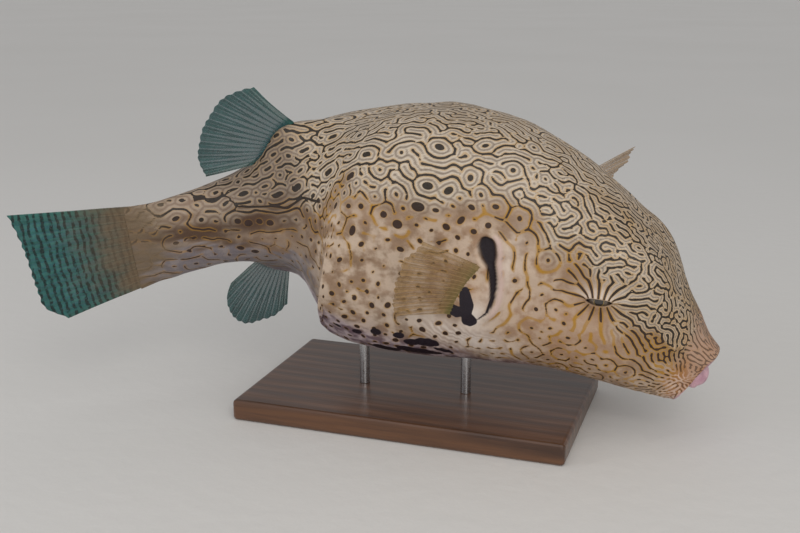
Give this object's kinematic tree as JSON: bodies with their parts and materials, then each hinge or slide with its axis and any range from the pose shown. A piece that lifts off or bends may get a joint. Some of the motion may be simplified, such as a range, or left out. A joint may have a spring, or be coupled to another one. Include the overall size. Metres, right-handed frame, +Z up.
{
  "type": "map puffer fish model",
  "caption": "Life-size still model of a map puffer nosing down, tail turned aside, on a flat base with two short rods.",
  "frame": {"origin": "middle of the underside of the stand's base, on the floor", "axes": "+Z up, -Z out of the base's underside; +X towards the fish's snout, +Y towards the fish's left side"},
  "size_m": [0.4761, 0.2379, 0.246],
  "materials": {
    "puffer_skin": "satin, cast and painted: cream to tan with a dark maze of lines and spots",
    "fin_membrane": "thin translucent olive to teal membrane with dark wavy bars",
    "eye_glass": "polished dark olive brown",
    "stand_wood": "dark satin walnut",
    "stand_steel": "brushed"
  },
  "bodies": {
    "root": {"head": "puffer_skin", "trunk": "puffer_skin", "tail_stalk": "puffer_skin", "caudal_fin": "fin_membrane", "dorsal_fin": "fin_membrane", "anal_fin": "fin_membrane", "pectoral_fin_right": "fin_membrane", "pectoral_fin_left": "fin_membrane", "eye_right": "eye_glass", "eye_left": "eye_glass", "stand_base": "stand_wood", "stand_rod_front": "stand_steel", "stand_rod_rear": "stand_steel"}
  },
  "joints": []
}
